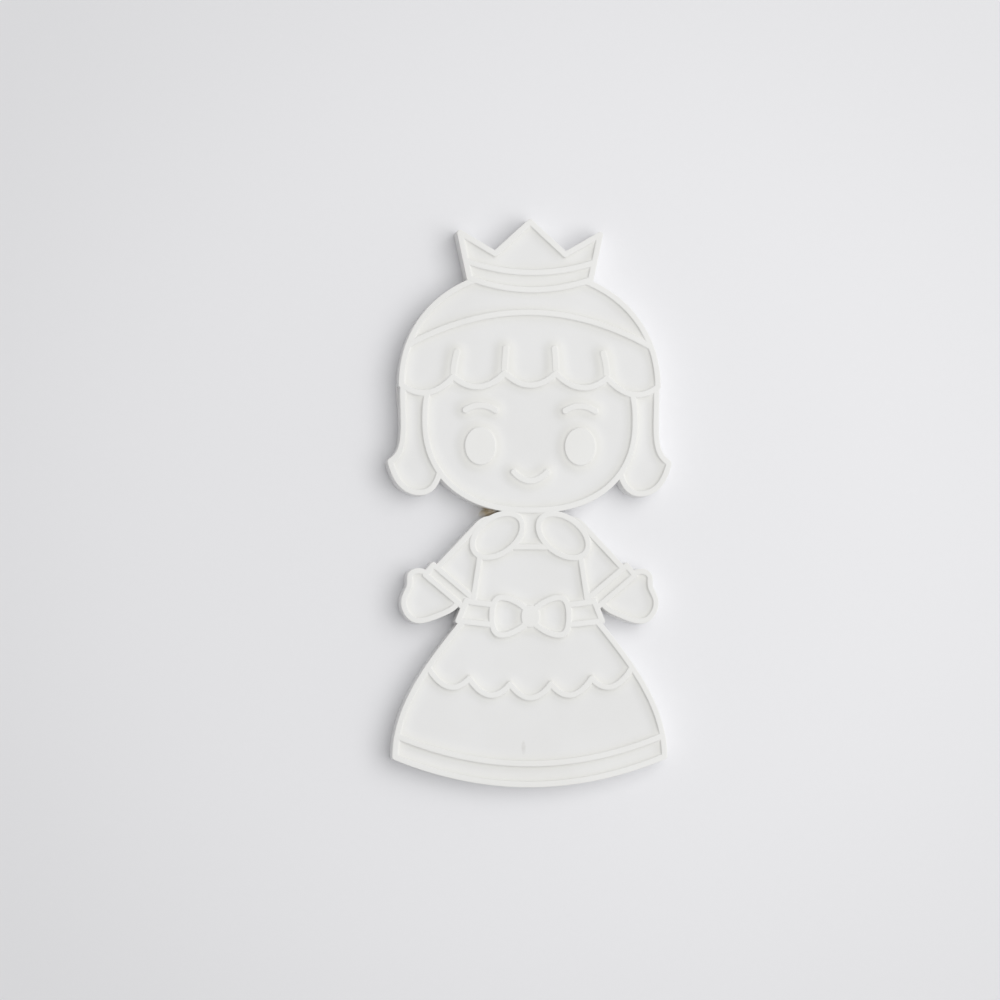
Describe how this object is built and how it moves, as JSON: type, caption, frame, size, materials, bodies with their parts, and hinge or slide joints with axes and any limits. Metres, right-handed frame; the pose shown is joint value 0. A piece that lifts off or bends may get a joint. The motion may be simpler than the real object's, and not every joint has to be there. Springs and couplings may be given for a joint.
{
  "type": "relief doll figurine",
  "caption": "Flat unpainted relief doll of a crowned child in a flared gown: a back plate carries shallow front trays edged by one raised line, with raised eyes, brows and mouth.",
  "frame": {"origin": "middle of the flat back face, halfway along the doll's length", "axes": "+Y along the doll from the hem to the crown, +Z out of the front, +X to the right as seen from the front"},
  "size_m": [0.053, 0.105, 0.005],
  "materials": {
    "white_plastic": "bare, unpainted, matt off-white"
  },
  "bodies": {
    "root": {"back_plate": "white_plastic", "crown_band": "white_plastic", "crown": "white_plastic", "fringe": "white_plastic", "face": "white_plastic", "right_eye": "white_plastic", "left_eye": "white_plastic", "right_brow": "white_plastic", "left_brow": "white_plastic", "mouth": "white_plastic", "right_lock": "white_plastic", "left_lock": "white_plastic", "hair_cap": "white_plastic", "knot": "white_plastic", "right_bow_loop": "white_plastic", "left_bow_loop": "white_plastic", "right_sash": "white_plastic", "left_sash": "white_plastic", "right_collar": "white_plastic", "left_collar": "white_plastic", "bodice": "white_plastic", "neck": "white_plastic", "overskirt": "white_plastic", "hem_band": "white_plastic", "skirt": "white_plastic", "right_cuff": "white_plastic", "left_cuff": "white_plastic", "right_sleeve": "white_plastic", "left_sleeve": "white_plastic", "right_hand": "white_plastic", "left_hand": "white_plastic"}
  },
  "joints": []
}
